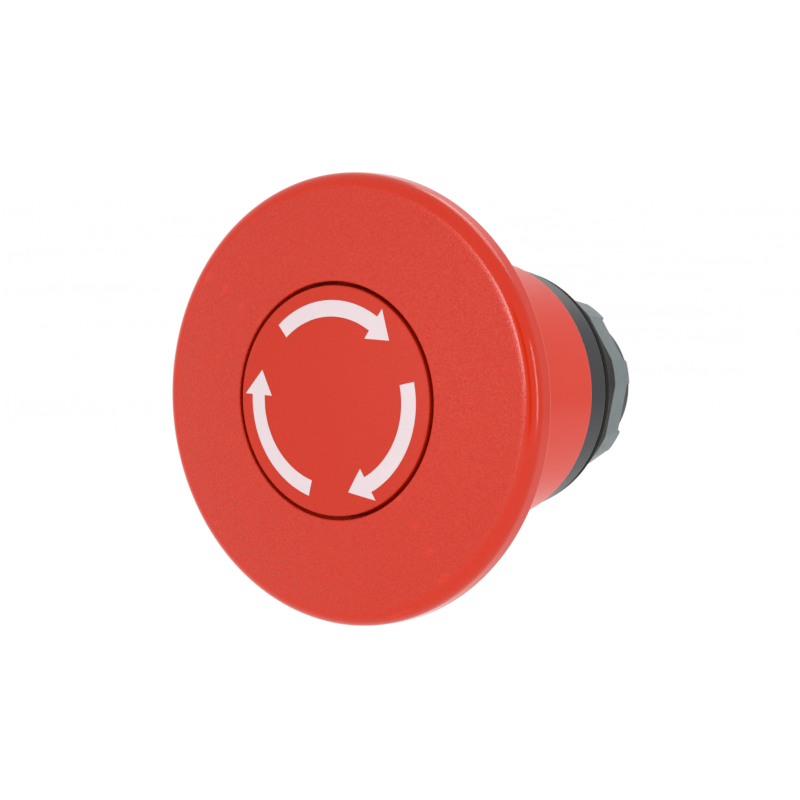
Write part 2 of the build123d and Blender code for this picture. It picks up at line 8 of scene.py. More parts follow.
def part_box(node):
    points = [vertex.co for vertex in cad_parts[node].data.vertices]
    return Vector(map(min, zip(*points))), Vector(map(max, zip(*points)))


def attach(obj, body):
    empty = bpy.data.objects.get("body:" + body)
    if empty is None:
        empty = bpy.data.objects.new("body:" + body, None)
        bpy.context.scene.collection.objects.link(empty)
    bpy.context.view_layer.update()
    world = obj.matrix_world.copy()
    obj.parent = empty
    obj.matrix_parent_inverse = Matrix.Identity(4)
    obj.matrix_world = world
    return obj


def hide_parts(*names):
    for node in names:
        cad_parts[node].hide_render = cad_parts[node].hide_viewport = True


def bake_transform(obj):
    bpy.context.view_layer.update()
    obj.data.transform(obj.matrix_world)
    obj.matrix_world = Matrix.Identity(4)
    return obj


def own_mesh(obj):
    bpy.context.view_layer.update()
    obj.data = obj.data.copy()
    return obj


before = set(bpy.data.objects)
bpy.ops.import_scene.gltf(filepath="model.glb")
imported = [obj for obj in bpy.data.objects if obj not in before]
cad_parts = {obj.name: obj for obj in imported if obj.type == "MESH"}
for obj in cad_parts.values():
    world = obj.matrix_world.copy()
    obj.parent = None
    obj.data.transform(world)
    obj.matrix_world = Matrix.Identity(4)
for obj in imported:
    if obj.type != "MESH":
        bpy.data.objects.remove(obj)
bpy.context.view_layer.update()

# An emergency stop operator. Sizes are in millimetres, and MM turns them into metres.
# The axis is +Y, into the panel; the head faces -Y and +Z is up. Profiles are (radius, y)
# points, and angles about the axis are in degrees from +X towards +Z.
MM = 0.001


def node_mm(node):
    """A CAD node's lowest and highest corners, in millimetres."""
    low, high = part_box(node)
    return [round(value / MM, 3) for value in low], [round(value / MM, 3) for value in high]


CAP_HIGH = node_mm("mushroom_cap")[1]
INSERT_LOW, INSERT_HIGH = node_mm("cap_insert")
NECK_LOW, NECK_HIGH = node_mm("neck_skirt")
COLLAR_LOW, COLLAR_HIGH = node_mm("bezel_collar")
GASKET_LOW, GASKET_HIGH = node_mm("panel_gasket")
BUSHING_LOW, BUSHING_HIGH = node_mm("threaded_bushing")
PUSHER_LOW, PUSHER_HIGH = node_mm("contact_pusher")
LATCH_LOW, LATCH_HIGH = node_mm("latch_ring")
CLIP_LOW, CLIP_HIGH = node_mm("ring_clip")
RETURN_LOW, RETURN_HIGH = node_mm("return_spring")
SPRING_LOW, SPRING_HIGH = node_mm("latch_spring")
TWIST_LOW, TWIST_HIGH = node_mm("twist_spring")

# ---- sizes ----
AROUND = 256                  # steps about the axis on a turned piece
ARC_STEPS = 6                 # chords in a rounded corner
WELD = 0.0005                 # points closer than this become one
EASE = 0.15                   # rounding of an edge that looks sharp
FIT = 0.05                    # gap between pieces that fit together
RUNNING = 0.08                # the nut's play on the thread
WALL_STEP = 0.02              # degrees across a wall that stands along the axis

# cap
CAP_R = CAP_HIGH[0]
APEX_Y = INSERT_LOW[1]
DOME_R = 118.0
RIM_ROUND = 2.0
RIM_BACK_Y = NECK_LOW[1] + 1.4
RIM_BACK_ROUND = 0.3
CAP_WALL = 2.2
POCKET_R = 15.7
POCKET_WALL = 1.7
FLOOR_FRONT_Y = APEX_Y + 4.2
FLOOR_BACK_Y = APEX_Y + 6.2
BOSS_R = 7.8
SCREW_R = 2.0
SEAT_R = NECK_HIGH[0] + FIT
SEAT_WIDTH = 1.6
GRAIN_R = 28.3                # the cap's moulded grain stops at this radius
RIM_STEPS = 20
DOME_STEPS = 40
UNDER_STEPS = 10

# insert
INSERT_R = INSERT_HIGH[0]
INSERT_SKIRT = 1.0
INSERT_WALL_Y = APEX_Y + 1.6
LIP_ROUND = 0.25
INSERT_STEPS = 30

# arrows
ARROW_COUNT = 3
ARROW_INNER_R = 11.1
ARROW_OUTER_R = 13.25
ARROW_TAIL = 132.4            # the angles of the tail's end, the barbs and the tip
ARROW_NECK = 57.6
ARROW_TIP = 41.8
BARB_INNER_R = 9.85
BARB_OUTER_R = 14.5
SHAFT_COLUMNS = 4
BARB_COLUMNS = 2              # on each side of the shaft
SHAFT_STEPS = 60
POINT_STEPS = 12
INK = 0.04
INK_ROOT = 0.01               # how far the ink film sits into the insert

# neck
NECK_R = 18.0
NECK_WALL = 0.9
NECK_FOOT_ROUND = 0.3
NECK_RIM_WIDTH = 1.0
FLARE_Y = -20.4
FLARE_R = 14.0
FLARE_ANGLE = 72.0
FLARE_STEPS = 40

# collar and gasket
COLLAR_R = COLLAR_HIGH[0]
COLLAR_IN_R = 15.0
COLLAR_FRONT_ROUND = 0.6
COLLAR_BACK_ROUND = 0.25
WEB_FRONT_Y = -2.3
GASKET_IN_ROUND = 0.1
GASKET_OUT_ROUND = 0.2

# bushing
THREAD_R = 11.0
THREAD_DEPTH = 0.92
THREAD_PITCH = 1.5
THREAD_BACK_Y = 13.2
THREAD_ROWS = (-0.0625, 0.0625, 0.18, 0.3, 0.4167, 0.5833, 0.7, 0.82)   # in pitches
CREST_HALF = THREAD_PITCH / 16
FLANK_SLOPE = sqrt(3)         # of a 60 degree thread
BUSHING_STEPS = 240
SPIGOT_R = 10.1
SPIGOT_ROUND = 0.35
BORE_R = 8.7
FRONT_BORE_R = 10.0
FRONT_TUBE_R = 12.5
SPRING_SEAT_Y = -3.2
BUSHING_FLANGE_R = 14.9
BUSHING_FLANGE_Y = -4.3
O_GROOVE = (12.39, 13.41, -3.32)     # inner radius, outer radius and the floor's station
KEYWAY_WIDTH = 2.4
KEYWAY_ANGLE = 270
KEYWAY_SLACK = 1e-6
PANEL_KEY_R = 12.05
PANEL_KEY_WIDTH = 3.0
PANEL_KEY_LENGTH = 1.5
PANEL_KEY_ANGLE = 90
PANEL_KEY_ROOT = 0.4          # how far the key reaches in under the thread's root

# nut and its front ring
TOOTH_COUNT = 8
PERIOD = 360 / TOOTH_COUNT
FIRST_TOOTH = 9.8
TOOTH_ANGLE = 15.0
TOOTH_IN_R = 11.6
TOOTH_ROUND = 0.35
GAP_Y = 10.6                  # the nut's back between its teeth
HUB_FRONT_Y = 1.7
PAD_IN_R = 12.4
PAD_POCKET_R = 13.7
PAD_POCKET_Y = 0.8
# outlines with eight flats: station, round radius, distance to a flat
PAD_FRONT = (0.7, 16.45, 16.45)
NUT_FRONT = (6.3, 13.9, 13.43)
NUT_BACK = (11.5, 13.03, 12.6)
NUT_BACK_ROUND = 0.3
TOOTH_IN_STEPS = 3
CREASE = 0.04                 # how softly a flat meets the round
TOOTH_OFFSETS = (
    *(0, 1.5, 3, 4.5, 5.5, 6.0, 6.4, 6.8, 7.1, 7.35, 7.49),     # on the tooth
    *(7.51, 7.8, 8.3, 9, 10, 11.5, 13.5, 16, 19),               # beside it
)

# contact pusher
PRONG_IN_R = 4.2
PRONG_ANGLE = 100.0
PUSHER_BODY_Y = 11.8
PUSHER_ROUND = 0.25
PUSHER_OFFSETS = (0, 10, 20, 30, 40, 46, 48, 48.8, 49.4, 49.8, 50, 50.02, 55, 60, 70, 80, 90)

# latch ring and its clip
LATCH_IN_R = 8.5
LATCH_RAMP_Y = 6.0
LATCH_CREST_R = 7.1
LATCH_CREST_Y = 13.0
LATCH_CREST_ROUND = 0.15
LATCH_BACK_R = 8.1
LATCH_BACK_ROUND = 0.1
CLIP_IN_R = 7.8
CLIP_ENDS = (-73.0, 253.0)
CLIP_STEPS = 180
CLIP_EDGE = 0.08
CLIP_EYE = (3.4, -7.3)
CLIP_EYE_R = 1.0
CLIP_HOLE_R = 0.45
CLIP_HOLE_STEPS = 24

# springs
COIL_STEPS = 28               # steps in a turn of a coil
WIRE_SIDES = 8
RETURN_WIRE_R = 0.55
RETURN_TURNS = 5
LATCH_WIRE_R = 0.18
LATCH_TURNS = 6
TWIST_WIRE_R = 0.4
TWIST_TURNS = 6

# studio: the lens and the aim in millimetres, the rest in metres and degrees
SENSOR_WIDTH = 36.0
FOCAL_LENGTH = 205.58
CAMERA_AIM = (7.01, -35.32, 0.11)
CAMERA_AZIMUTH, CAMERA_ELEVATION = 35.34, 2.95
CAMERA_DISTANCE = 0.6
CAMERA_REACH = 100.0
WORLD_STRENGTH = 1.06
FLOOR_Z = -0.15
FLOOR_SIZE = (40.0, 40.0)
CARD_AZIMUTH, CARD_ELEVATION = 32.0, 0.0
CARD_DISTANCE = 0.9
CARD_SIZE = (0.3, 0.9)
# name, azimuth, elevation, distance, width, height, watts
SOFTBOXES = (
    ("key", -5, 9, 0.9, 0.28, 0.28, 3.0),
    ("side", 84, 6, 0.9, 0.16, 0.5, 2.2),
    ("back", 172, 52, 0.9, 0.7, 0.42, 2.5),
)


# ---- mesh building ----
def welded(build, mesh):
    """Weld what is being built, turn its normals outwards, smooth it and write it to a mesh."""
    bmesh.ops.remove_doubles(build, verts=build.verts, dist=WELD * MM)
    bmesh.ops.recalc_face_normals(build, faces=build.faces)
    for face in build.faces:
        face.smooth = True
    build.to_mesh(mesh)
    build.free()
    return mesh


def mesh_from(name, *shells):
    """A mesh from shells of (points in millimetres, faces)."""
    build = bmesh.new()
    for points, faces in shells:
        corners = [build.verts.new(Vector(point) * MM) for point in points]
        for face in faces:
            build.faces.new([corners[index] for index in face])
    return welded(build, bpy.data.meshes.new(name))


def shade_by_area(mesh):
    """Set area-weighted normals, so that flat faces look flat right up to their rounded edges."""
    normals = [Vector() for _ in mesh.vertices]
    for polygon in mesh.polygons:
        weighted = polygon.normal * polygon.area
        for index in polygon.vertices:
            normals[index] += weighted
    mesh.normals_split_custom_set_from_vertices([normal.normalized() for normal in normals])


def add_piece(name, mesh, body, slot, replaced):
    """Put a finished mesh into the scene as a piece of a body, or of none yet."""
    shade_by_area(mesh)
    piece = bpy.data.objects.new(name, mesh)
    bpy.context.scene.collection.objects.link(piece)
    mesh.materials.append(MATERIALS[slot])
    if body:
        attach(piece, body)
    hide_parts(*replaced)
    return piece


def loft(stations, closed=True):
    """A solid through closed profiles, each at its own angle about the axis.

    A closed loft's last station repeats its first one; an open loft gets two end caps.
    """
    points = []
    for angle, profile in stations:
        across, up = cos(radians(angle)), sin(radians(angle))
        points += [(r * across, y, r * up) for r, y in profile]
    width = len(stations[0][1])
    faces = []
    for row in range(len(stations) - 1):
        near, far = row * width, (row + 1) * width
        for column in range(width):
            beside = (column + 1) % width
            faces.append((near + column, near + beside, far + beside, far + column))
    if not closed:
        faces.append(tuple(range(width)))
        faces.append(tuple(len(points) - 1 - index for index in range(width)))
    return points, faces


def lathe(profile):
    """A profile turned right round the axis."""
    return loft([(360 / AROUND * step, profile) for step in range(AROUND + 1)])


def arc(centre, radius, start, end, steps):
    """Points of an arc in the (radius, y) plane, from one angle in degrees to another."""
    turns = [radians(start + (end - start) * step / steps) for step in range(steps + 1)]
    return [(centre[0] + radius * cos(turn), centre[1] + radius * sin(turn)) for turn in turns]


def rounded(corners):
    """A closed profile through (radius, y, rounding) corners."""
    points = []
    for index, (r, y, rounding) in enumerate(corners):
        corner = Vector((r, y))
        if not rounding:
            points.append((r, y))
            continue
        back = (Vector(corners[index - 1][:2]) - corner).normalized()
        onward = (Vector(corners[(index + 1) % len(corners)][:2]) - corner).normalized()
        half = back.angle(onward) / 2
        centre = corner + (back + onward).normalized() * rounding / sin(half)
        first, last = corner + back * rounding / tan(half), corner + onward * rounding / tan(half)
        for step in range(ARC_STEPS + 1):
            spoke = first.lerp(last, step / ARC_STEPS) - centre
            points.append(tuple(centre + spoke.normalized() * rounding))
    return points


# ---- materials ----
MIDDLE = (0.3, 0.7)                  # the part of a noise's range that is used
CLOUD_SCALE = 90.0                   # scales are in features per metre
WAVE_SCALE = 60.0
WORN_FROM = (0.53, 0.6)              # how pointed an edge is where its wear starts and is full
WORN_SHARE = 0.5
WORN_TINT = 1.25
FINE_SCALE, FINE_DEPTH = 2.3, 0.4    # the fine grain and the gloss patches, against the grain
PATCH_SCALE = 0.35
FADE = (-0.5, 0.3)                   # where the grain fades, from its edge
POLISHED_GRAIN = 0.04
POLISHED_GLOSS = 0.55
SCRATCH_SCALE, SCRATCH_DEPTH = 900.0, 0.004
TARNISH_SCALE = 250.0
BLOOM_SCALE = 400.0
RUBBER_GLOSS = (0.55, 0.8)
RUBBER_SCALE, RUBBER_DEPTH = 5000.0, 0.01
SPOT_SCALE = 2200.0                  # thin spots in the ink
INK_CLOUD_SCALE = 150.0
THIN_INK = (0.75, 0.45, 0.48, 1.0)
INK_SCALE, INK_DEPTH = 4500.0, 0.006
SHEET_SCALE = 2.0                    # on the floor and the card


def node(tree, kind, inputs, **settings):
    """Add a shader node. An input given as a socket is linked, and any other value is set."""
    made = tree.nodes.new(kind)
    for key, value in settings.items():
        setattr(made, key, value)
    for key, value in inputs.items():
        if isinstance(value, bpy.types.NodeSocket):
            tree.links.new(value, made.inputs[key])
        else:
            made.inputs[key].default_value = value
    return made


def noise(tree, place, scale, detail=2.0, roughness=0.5):
    """A noise texture's value, with its scale in features per metre."""
    inputs = {"Vector": place, "Scale": scale, "Detail": detail, "Roughness": roughness}
    return node(tree, "ShaderNodeTexNoise", inputs).outputs["Fac"]


def ranged(tree, value, low, high, new_low, new_high):
    """Map a value from one range to another, clamped."""
    inputs = {"Value": value, "From Min": low, "From Max": high, "To Min": new_low, "To Max": new_high}
    return node(tree, "ShaderNodeMapRange", inputs).outputs["Result"]


def mixed(tree, factor, first, second):
    """A colour between two, each a socket or (r, g, b, 1)."""
    inputs = {0: factor, 6: first, 7: second}
    return node(tree, "ShaderNodeMix", inputs, data_type="RGBA").outputs[2]


def times(tree, first, second):
    return node(tree, "ShaderNodeMath", {0: first, 1: second}, operation="MULTIPLY").outputs[0]


def grey(value):
    return (value, value, value, 1.0)


def tint(colour, factor):
    """A colour made lighter or darker."""
    return (*[min(1.0, channel * factor) for channel in colour], 1.0)


def start_material(name):
    """A new material, with its shader and the piece's own coordinates in metres."""
    material = bpy.data.materials.new(name)
    material.use_nodes = True
    tree = material.node_tree
    shader = tree.nodes["Principled BSDF"]
    place = node(tree, "ShaderNodeTexCoord", {}).outputs["Object"]
    return material, tree, shader, place


def radius_of(tree, place):
    """The distance from the axis, in metres."""
    parts = node(tree, "ShaderNodeSeparateXYZ", {"Vector": place}).outputs
    flat = node(tree, "ShaderNodeCombineXYZ", {"X": parts["X"], "Z": parts["Z"]}).outputs[0]
    return node(tree, "ShaderNodeVectorMath", {0: flat}, operation="LENGTH").outputs["Value"]


def bumped(tree, shader, layers):
    """Bump a shader with layers of (height socket, depth in millimetres, strength socket or number)."""
    normal = None
    for height, depth, strength in layers:
        inputs = {"Height": height, "Distance": depth * MM, "Strength": strength}
        if normal is not None:
            inputs["Normal"] = normal
        normal = node(tree, "ShaderNodeBump", inputs).outputs["Normal"]
    tree.links.new(normal, shader.inputs["Normal"])


def plastic(name, colour, gloss, grain, wave=0.0, level=0.5, blotch=0.06, inner_r=None):
    """Moulded plastic. gloss is its roughness range, and grain is (features per metre, depth in mm).

    With inner_r, the grain is only nearer the axis than that radius, and the rest is polished.
    """
    material, tree, shader, place = start_material(name)
    scale, depth = grain
    cloud = noise(tree, place, CLOUD_SCALE, 3.0)
    body = mixed(tree, cloud, tint(colour, 1 - blotch), tint(colour, 1 + blotch))
    pointed = node(tree, "ShaderNodeNewGeometry", {}).outputs["Pointiness"]
    worn = ranged(tree, pointed, *WORN_FROM, 0.0, WORN_SHARE)
    tree.links.new(mixed(tree, worn, body, tint(colour, WORN_TINT)), shader.inputs["Base Color"])
    speckle = noise(tree, place, scale, 2.5, 0.6)
    fine = noise(tree, place, scale * FINE_SCALE, 1.0)
    rough = ranged(tree, noise(tree, place, scale * PATCH_SCALE, 3.0), *MIDDLE, *gloss)
    strength = 1.0
    if inner_r:
        start, end = ((inner_r + off) * MM for off in FADE)
        strength = ranged(tree, radius_of(tree, place), start, end, 1.0, POLISHED_GRAIN)
        rough = node(tree, "ShaderNodeMix", {0: strength, 2: POLISHED_GLOSS * gloss[0], 3: rough}).outputs[0]
    tree.links.new(rough, shader.inputs["Roughness"])
    shader.inputs["Specular IOR Level"].default_value = level
    layers = [(speckle, depth, strength), (fine, depth * FINE_DEPTH, strength)]
    if wave:
        layers.append((noise(tree, place, WAVE_SCALE, 1.0), wave, 1.0))
    bumped(tree, shader, layers)
    return material


def metal(name, colour, gloss, stretch=(1.0, 60.0, 1.0)):
    """Machined or drawn metal, with fine lines drawn out by stretch, and dulled patches."""
    material, tree, shader, place = start_material(name)
    drawn = node(tree, "ShaderNodeMapping", {"Vector": place, "Scale": stretch}).outputs["Vector"]
    grooves = noise(tree, drawn, SCRATCH_SCALE, 4.0, 0.65)
    patches = noise(tree, place, TARNISH_SCALE, 4.0)
    body = mixed(tree, patches, tint(colour, 0.82), tint(colour, 1.12))
    dulled = mixed(tree, times(tree, grooves, 0.4), body, tint(colour, 0.6))
    tree.links.new(dulled, shader.inputs["Base Color"])
    tree.links.new(ranged(tree, patches, *MIDDLE, *gloss), shader.inputs["Roughness"])
    shader.inputs["Metallic"].default_value = 1.0
    bumped(tree, shader, [(grooves, SCRATCH_DEPTH, 1.0)])
    return material


def rubber(name, colour):
    """Matt moulded rubber with a dusty, uneven bloom."""
    material, tree, shader, place = start_material(name)
    bloom = noise(tree, place, BLOOM_SCALE, 5.0, 0.7)
    tree.links.new(mixed(tree, bloom, tint(colour, 0.75), tint(colour, 1.5)), shader.inputs["Base Color"])
    tree.links.new(ranged(tree, bloom, *MIDDLE, *RUBBER_GLOSS), shader.inputs["Roughness"])
    shader.inputs["Specular IOR Level"].default_value = 0.02
    bumped(tree, shader, [(noise(tree, place, RUBBER_SCALE), RUBBER_DEPTH, 1.0)])
    return material


def ink(name, colour):
    """Printed ink: flat, slightly uneven, with the red showing a little through thin spots."""
    material, tree, shader, place = start_material(name)
    thin = ranged(tree, noise(tree, place, SPOT_SCALE, 3.0, 0.7), 0.55, 0.8, 0.0, 0.35)
    cloud = mixed(tree, noise(tree, place, INK_CLOUD_SCALE), tint(colour, 0.97), tint(colour, 1.03))
    tree.links.new(mixed(tree, thin, cloud, THIN_INK), shader.inputs["Base Color"])
    tree.links.new(ranged(tree, thin, 0.0, 0.35, 0.5, 0.6), shader.inputs["Roughness"])
    shader.inputs["Specular IOR Level"].default_value = 0.3
    bumped(tree, shader, [(noise(tree, place, INK_SCALE), INK_DEPTH, 1.0)])
    return material


RED = (0.455, 0.0175, 0.0026)
INSERT_RED = (0.435, 0.0175, 0.0026)
# The neck's red is lighter than the cap's: painted light for the extra light that falls on the neck's side.
NECK_LIT_RED = (0.50, 0.0200, 0.0030)
INK_WHITE = (0.55, 0.465, 0.48)
COLLAR_BLACK = (0.013, 0.012, 0.015)
BUSHING_BLACK = (0.026, 0.026, 0.030)
PAD_BLACK = (0.016, 0.016, 0.014)
PUSHER_BLACK = (0.022, 0.022, 0.024)
NUT_GREY = (0.100, 0.122, 0.127)
NATURAL = (0.62, 0.60, 0.52)
BRASS = (0.78, 0.57, 0.24)
EVEN = (1.0, 1.0, 1.0)               # a stretch that draws no lines
MATERIALS = {
    "cap_red": plastic(
        "cap_red", RED, (0.24, 0.32), (4200.0, 0.12), level=0.28, blotch=0.02, inner_r=GRAIN_R
    ),
    "insert_red": plastic("insert_red", INSERT_RED, (0.36, 0.46), (4200.0, 0.06), level=0.23, blotch=0.02),
    "neck_red": plastic(
        "neck_red", NECK_LIT_RED, (0.12, 0.18), (2500.0, 0.0006), wave=0.01, level=0.3, blotch=0.02
    ),
    "print_white": ink("print_white", INK_WHITE),
    "collar_black": plastic("collar_black", COLLAR_BLACK, (0.26, 0.34), (3200.0, 0.002), level=0.3),
    "bushing_black": plastic("bushing_black", BUSHING_BLACK, (0.28, 0.38), (3000.0, 0.003), level=0.3),
    "pad_black": plastic("pad_black", PAD_BLACK, (0.5, 0.62), (3000.0, 0.006), level=0.02),
    "pusher_black": plastic("pusher_black", PUSHER_BLACK, (0.3, 0.42), (3000.0, 0.004)),
    "nut_grey": plastic("nut_grey", NUT_GREY, (0.4, 0.52), (3000.0, 0.006), level=0.3),
    "carrier_natural": plastic("carrier_natural", NATURAL, (0.35, 0.45), (2800.0, 0.003)),
    # The black rubber is darker than its own colour: painted shade for the dark gap round the gasket,
    # between the collar and the front ring.
    "rubber_black": rubber("rubber_black", (0.006, 0.006, 0.006)),
    "zinc_steel": metal("zinc_steel", (0.62, 0.62, 0.60), (0.22, 0.36)),
    "spindle_steel": metal("spindle_steel", (0.55, 0.55, 0.56), (0.2, 0.32)),
    "spring_steel": metal("spring_steel", (0.40, 0.40, 0.41), (0.25, 0.4), stretch=EVEN),
    "pin_brass": metal("pin_brass", BRASS, (0.2, 0.32), stretch=(60.0, 1.0, 1.0)),
    "ring_brass": metal("ring_brass", BRASS, (0.22, 0.36)),
    "clip_dark": metal("clip_dark", (0.09, 0.09, 0.095), (0.35, 0.5), stretch=EVEN),
}


# ---- head ----
def dome_y(radius, drop=0.0):
    """Where the cap's domed face lies at a radius, or that face moved inwards by drop."""
    return APEX_Y + DOME_R - sqrt((DOME_R - drop) ** 2 - radius**2)


def dome_run(first, last, steps, drop=0.0):
    """Points along the dome from one radius to another, the first one left out."""
    radii = [first + (last - first) * step / steps for step in range(1, steps + 1)]
    return [(radius, dome_y(radius, drop)) for radius in radii]


def lip(radius, side, rounding):
    """The rounded lip where the dome meets a wall along the axis; side is 1 where the wall is outside."""
    middle = (radius - side * rounding, dome_y(radius - side * rounding) + rounding)
    start, end = (-90, 0) if side > 0 else (180, 270)
    return arc(middle, rounding, start, end, ARC_STEPS)


def cap_profile():
    reach = DOME_R - RIM_ROUND
    lean = degrees(asin((CAP_R - RIM_ROUND) / reach))
    rim_y = APEX_Y + DOME_R - reach * cos(radians(lean))
    rim = arc((CAP_R - RIM_ROUND, rim_y), RIM_ROUND, lean - 90, 0, RIM_STEPS)
    well_r = POCKET_R + POCKET_WALL
    under_r = SEAT_R - SEAT_WIDTH
    back = rounded(
        [
            (CAP_R, rim_y, 0),
            (CAP_R, RIM_BACK_Y, RIM_BACK_ROUND),
            (SEAT_R, RIM_BACK_Y, EASE),
            (SEAT_R, NECK_LOW[1], 0),
            (under_r, NECK_LOW[1], 0),
            (under_r, dome_y(under_r, CAP_WALL), 0),
        ]
    )[1:]
    inside = [
        (well_r, FLOOR_BACK_Y),
        (BOSS_R, FLOOR_BACK_Y),
        (BOSS_R, CAP_HIGH[1]),
        (SCREW_R + FIT, CAP_HIGH[1]),
        (SCREW_R + FIT, FLOOR_FRONT_Y),
        (POCKET_R, FLOOR_FRONT_Y),
    ]
    front_lip = lip(POCKET_R, -1, LIP_ROUND)
    face = dome_run(front_lip[-1][0], rim[0][0], DOME_STEPS)[:-1]
    under = dome_run(under_r, well_r, UNDER_STEPS, CAP_WALL)
    return front_lip + face + rim + back + under + inside


def insert_profile():
    mouth = lip(INSERT_R, 1, LIP_ROUND)
    face = [(0, APEX_Y)] + dome_run(0, mouth[0][0], INSERT_STEPS)[:-1]
    inner_r = INSERT_R - INSERT_SKIRT
    skirt = [(INSERT_R, FLOOR_FRONT_Y), (inner_r, FLOOR_FRONT_Y)]
    return face + mouth + skirt + [(inner_r, INSERT_WALL_Y), (0, INSERT_WALL_Y)]


def polar(radius, angle):
    return Vector((radius * cos(radians(angle)), radius * sin(radians(angle))))


def grid_quads(start, rows, width):
    """The quads of a grid of points that are numbered row by row from start."""
    corners = [start + row * width + column for row in range(rows - 1) for column in range(width - 1)]
    return [(near, near + 1, near + width + 1, near + width) for near in corners]


def arrow_patch(turn):
    """One arrow from its tail to its tip: flat points, with the faces between them."""
    column_width = (ARROW_OUTER_R - ARROW_INNER_R) / SHAFT_COLUMNS
    shaft = [ARROW_INNER_R + column_width * column for column in range(SHAFT_COLUMNS + 1)]
    middle_in, middle_out = (BARB_INNER_R + ARROW_INNER_R) / 2, (BARB_OUTER_R + ARROW_OUTER_R) / 2
    barbs = [BARB_INNER_R, middle_in, *shaft, middle_out, BARB_OUTER_R]
    sweep = ARROW_NECK - ARROW_TAIL
    angles = [ARROW_TAIL + sweep * step / SHAFT_STEPS for step in range(SHAFT_STEPS)]
    rows = [[polar(radius, angle + turn) for radius in shaft] for angle in angles]
    base = [polar(radius, ARROW_NECK + turn) for radius in barbs]
    tip = polar((BARB_INNER_R + BARB_OUTER_R) / 2, ARROW_TIP + turn)
    head = [[point.lerp(tip, step / POINT_STEPS) for point in base] for step in range(POINT_STEPS)]
    flat = [point for row in rows + head for point in row] + [tip]

    width, wide = len(shaft), len(barbs)
    start = len(rows) * width
    joint, neck = start - width, start + BARB_COLUMNS
    last = len(flat) - 1 - wide
    faces = grid_quads(0, len(rows), width)
    faces += [(joint + i, joint + i + 1, neck + i + 1, neck + i) for i in range(width - 1)]
    faces += grid_quads(start, POINT_STEPS, wide)
    faces += [(last + i, last + i + 1, len(flat) - 1) for i in range(wide - 1)]
    return flat, faces


def film(flat, patch):
    """Give a flat patch its two faces on the dome and the walls between them."""
    count = len(flat)
    points = [(x, dome_y(Vector((x, z)).length) - INK, z) for x, z in flat]
    points += [(x, dome_y(Vector((x, z)).length) + INK_ROOT, z) for x, z in flat]
    faces = list(patch) + [tuple(count + index for index in reversed(face)) for face in patch]
    edges = {}
    for face in patch:
        for first, second in zip(face, face[1:] + face[:1]):
            key = (min(first, second), max(first, second))
            edges[key] = None if key in edges else (first, second)
    for edge in edges.values():
        if edge:
            faces.append((edge[1], edge[0], edge[0] + count, edge[1] + count))
    return points, faces


def neck_profile():
    centre = (NECK_R + FLARE_R, FLARE_Y)
    outer = arc(centre, FLARE_R, 180, 180 + FLARE_ANGLE, FLARE_STEPS)
    inner = arc(centre, FLARE_R + NECK_WALL, 180 + FLARE_ANGLE, 180, FLARE_STEPS)
    edge_r = SEAT_R - FIT
    foot = rounded(
        [
            (NECK_R - NECK_WALL, FLARE_Y, 0),
            (NECK_R - NECK_WALL, NECK_HIGH[1], EASE),
            (NECK_R, NECK_HIGH[1], NECK_FOOT_ROUND),
            (NECK_R, FLARE_Y, 0),
        ]
    )[1:-1]
    rim = [(edge_r, RIM_BACK_Y), (edge_r, NECK_LOW[1]), (edge_r - NECK_RIM_WIDTH, NECK_LOW[1])]
    return outer + rim + inner + foot


def build_head():
    arrows = [film(*arrow_patch(360 / ARROW_COUNT * step)) for step in range(ARROW_COUNT)]
    for name, shells, slot, replaced in (
        ("cap_shell", [lathe(cap_profile())], "cap_red", "mushroom_cap"),
        ("insert_disc", [lathe(insert_profile())], "insert_red", "cap_insert"),
        ("arrow_prints", arrows, "print_white", "arrow_marks"),
        ("neck_shell", [lathe(neck_profile())], "neck_red", "neck_skirt"),
    ):
        add_piece(name, mesh_from(name, *shells), "head", slot, [replaced])


# ---- housing ----
def thread_radius(angle, y):
    """The thread's radius at an angle and a station on the axis. It is right-handed."""
    turns = y / THREAD_PITCH + angle / 360
    from_crest = abs(turns - round(turns)) * THREAD_PITCH
    fall = (from_crest - CREST_HALF) * FLANK_SLOPE
    return THREAD_R - min(max(fall, 0.0), THREAD_DEPTH)


def thread_rows(angle, front, back):
    """Stations along the axis that follow the thread's crests and roots, clamped to a stretch."""
    first = int(front // THREAD_PITCH) - 1
    last = int(back // THREAD_PITCH) + 3
    rows = []
    for turn in range(first, last):
        for share in THREAD_ROWS:
            y = (turn + share - angle / 360) * THREAD_PITCH
            rows.append(min(max(y, front), back))
    return rows


